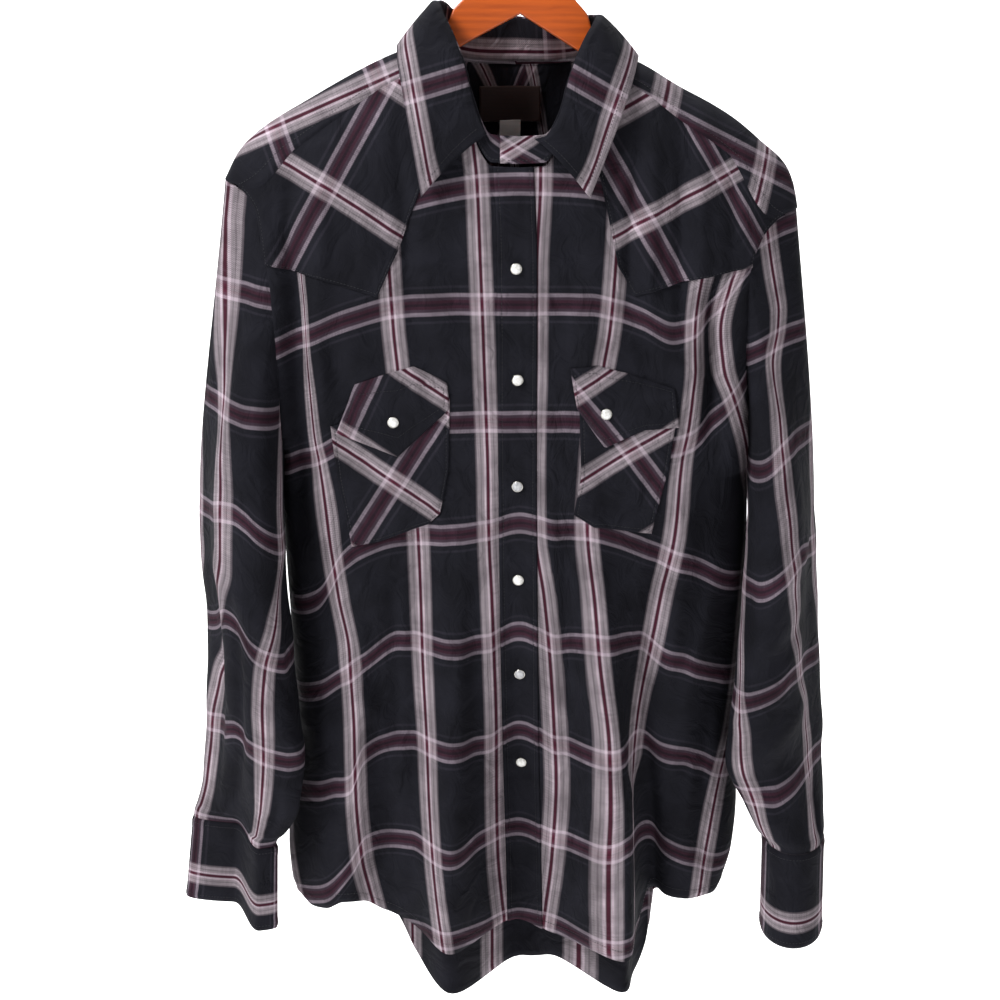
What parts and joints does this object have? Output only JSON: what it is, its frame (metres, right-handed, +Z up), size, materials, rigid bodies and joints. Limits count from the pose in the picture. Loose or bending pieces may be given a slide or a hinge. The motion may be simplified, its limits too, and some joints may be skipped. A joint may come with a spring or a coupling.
{
  "type": "western snap shirt on a wooden hanger",
  "caption": "Long-sleeved plaid western shirt with pointed yokes, flap pockets, pearl snaps and a curved tail, hung on a shaped wooden hanger with a wire hook.",
  "frame": {"origin": "the underside of the hanger hook's crown, where it bears on a rail, in the middle of the hanger", "axes": "+Z up, the shirt's front faces -Y, +X to the wearer's left"},
  "size_m": [0.6364, 0.1825, 1.0667],
  "materials": {
    "plaid_cloth": "plain-woven cotton blend, near-black with light grey and burgundy plaid stripes",
    "pearl_snap": "pearly white cap in a thin metal rim",
    "label_cloth": "plain woven satin label",
    "tab_cloth": "plain white tape",
    "varnished_wood": "orange-brown varnish over a straight grain",
    "chromed_wire": "polished chrome plating"
  },
  "bodies": {
    "root": {"front_right": "plaid_cloth", "front_left": "plaid_cloth", "placket": "plaid_cloth", "back": "plaid_cloth", "back_yoke": "plaid_cloth", "front_yoke_right": "plaid_cloth", "front_yoke_left": "plaid_cloth", "pocket_right": "plaid_cloth", "pocket_left": "plaid_cloth", "flap_right": "plaid_cloth", "flap_left": "plaid_cloth", "sleeve_right": "plaid_cloth", "sleeve_left": "plaid_cloth", "sleeve_placket_right": "plaid_cloth", "sleeve_placket_left": "plaid_cloth", "cuff_right": "plaid_cloth", "cuff_left": "plaid_cloth", "collar_stand": "plaid_cloth", "collar_fall": "plaid_cloth", "snap_front_1": "pearl_snap", "snap_front_2": "pearl_snap", "snap_front_3": "pearl_snap", "snap_front_4": "pearl_snap", "snap_front_5": "pearl_snap", "snap_front_6": "pearl_snap", "snap_flap_right": "pearl_snap", "snap_flap_left": "pearl_snap", "snap_cuff_right_1": "pearl_snap", "snap_cuff_right_2": "pearl_snap", "snap_cuff_left_1": "pearl_snap", "snap_cuff_left_2": "pearl_snap", "neck_label": "label_cloth", "size_tab": "tab_cloth", "hanger_body": "varnished_wood", "hanger_hook": "chromed_wire"}
  },
  "joints": []
}
